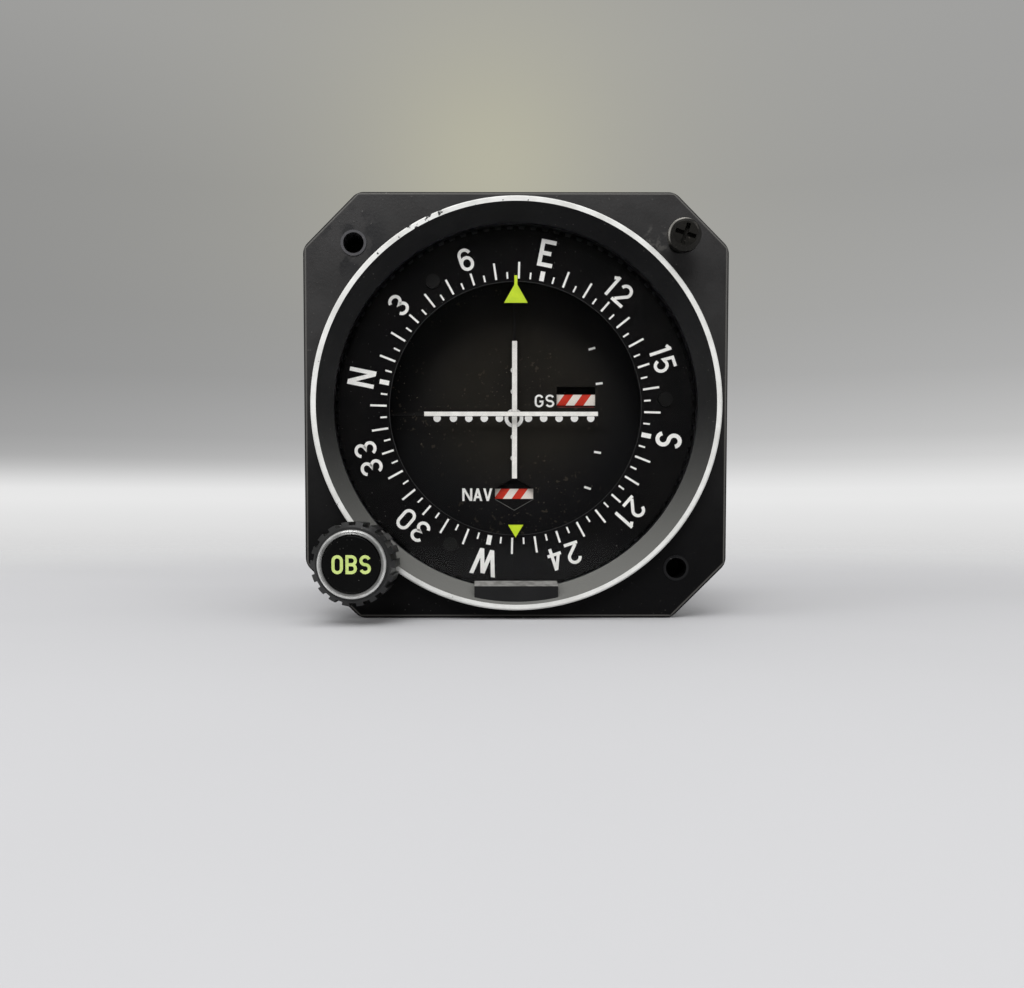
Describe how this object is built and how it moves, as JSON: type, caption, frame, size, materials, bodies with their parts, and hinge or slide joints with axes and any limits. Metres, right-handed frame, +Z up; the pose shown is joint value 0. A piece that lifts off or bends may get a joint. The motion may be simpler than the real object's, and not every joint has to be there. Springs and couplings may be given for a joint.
{
  "type": "course deviation indicator",
  "caption": "Round-faced panel instrument with a turning compass card, course knob, crossed deviation needles and warning flags behind glass, in a cylindrical case.",
  "frame": {"origin": "on the instrument's axis, in the rear face of the square flange, which seats on the panel", "axes": "+X to the pilot's right, +Y into the panel along the case, +Z up"},
  "size_m": [0.0826, 0.1269, 0.0826],
  "materials": {
    "black_paint": "satin black enamel with fine grain",
    "plate_black": "smooth black, bare of any marking",
    "glass": "clear flat glass",
    "retainer_metal": "dark anodised",
    "index_yellow": "matt yellow green paint",
    "screw_black": "black oxide",
    "screw_steel": "bright zinc plate",
    "bushing_brass": "turned",
    "case_black": "fine wrinkle black paint",
    "dial_black": "matt brown black paint with white print",
    "frame_metal": "clear anodised",
    "lamp_glass": "clear bulb glass",
    "movement_black": "moulded",
    "board_green": "solder mask",
    "chip_black": "moulded",
    "capacitor_blue": "shrink sleeve",
    "connector_steel": "tin plate",
    "connector_black": "moulded",
    "card_black": "matt black paint with white print",
    "gear_brass": "cut and cleaned",
    "drum_metal": "turned",
    "knob_plastic": "moulded with a fine matt grain",
    "trim_silver": "bright turned",
    "shaft_steel": "ground",
    "needle_white": "matt off-white paint on a black arm",
    "flag_red": "matt red and white stripes"
  },
  "bodies": {
    "housing": {"bezel": "black_paint", "name_plate": "plate_black", "lens": "glass", "lens_retainer": "retainer_metal", "index_marks": "index_yellow", "mounting_screw": "screw_black", "obs_bushing": "bushing_brass", "gear_cover": "case_black", "card_bearing_ring": "retainer_metal", "dial_plate": "dial_black", "dial_posts": "frame_metal", "lamps": "lamp_glass", "lamp_holders": "frame_metal", "front_frame_plate": "frame_metal", "frame_standoffs": "frame_metal", "cover_standoffs": "frame_metal", "cdi_movement": "movement_black", "gs_movement": "movement_black", "nav_flag_movement": "movement_black", "gs_flag_movement": "movement_black", "circuit_board": "board_green", "board_chips": "chip_black", "board_capacitors": "capacitor_blue", "case": "case_black", "rear_cover": "case_black", "cover_screws": "screw_steel", "connector_shell": "connector_steel", "connector_insulator": "connector_black", "jack_screws": "screw_steel"},
    "card": {"compass_card": "card_black", "card_gear": "gear_brass", "card_drum": "drum_metal", "card_screws": "screw_black"},
    "course_knob": {"obs_knob": "knob_plastic", "knob_trim_ring": "trim_silver", "knob_cap": "knob_plastic", "knob_set_screw": "screw_steel", "obs_shaft": "shaft_steel", "obs_pinion": "gear_brass"},
    "cdi_pointer": {"cdi_needle": "needle_white", "cdi_shaft": "shaft_steel", "cdi_counterweight": "gear_brass"},
    "gs_pointer": {"gs_needle": "needle_white", "gs_shaft": "shaft_steel", "gs_counterweight": "gear_brass"},
    "nav_vane": {"nav_flag": "flag_red", "nav_flag_shaft": "shaft_steel"},
    "gs_vane": {"gs_flag": "flag_red", "gs_flag_shaft": "shaft_steel"}
  },
  "joints": [
    {"name": "card_spin", "type": "hinge", "parent": "housing", "child": "card", "pos_m": [0, 0, 0], "axis": [0, 1, 0], "continuous": true},
    {"name": "knob_spin", "type": "hinge", "parent": "housing", "child": "course_knob", "pos_m": [-0.02996, 0, -0.02996], "axis": [0, 1, 0], "continuous": true},
    {"name": "cdi_swing", "type": "hinge", "parent": "housing", "child": "cdi_pointer", "pos_m": [0, 0, 0.03], "axis": [0, 1, 0], "range_deg": [-28, 28], "stiffness_Nm_per_rad": 0.001},
    {"name": "gs_swing", "type": "hinge", "parent": "housing", "child": "gs_pointer", "pos_m": [-0.03, 0, -0.0004], "axis": [0, 1, 0], "range_deg": [-18, 18], "stiffness_Nm_per_rad": 0.001},
    {"name": "nav_flag_swing", "type": "hinge", "parent": "housing", "child": "nav_vane", "pos_m": [0.022, 0, -0.019], "axis": [0, 1, 0], "range_deg": [-13, 13], "stiffness_Nm_per_rad": 0.001},
    {"name": "gs_flag_swing", "type": "hinge", "parent": "housing", "child": "gs_vane", "pos_m": [0.03, 0, 0.003], "axis": [0, 1, 0], "range_deg": [0, 20], "stiffness_Nm_per_rad": 0.001}
  ],
  "couplings": [
    {"joint": "knob_spin", "follows": "card_spin", "ratio": -5.6471}
  ]
}
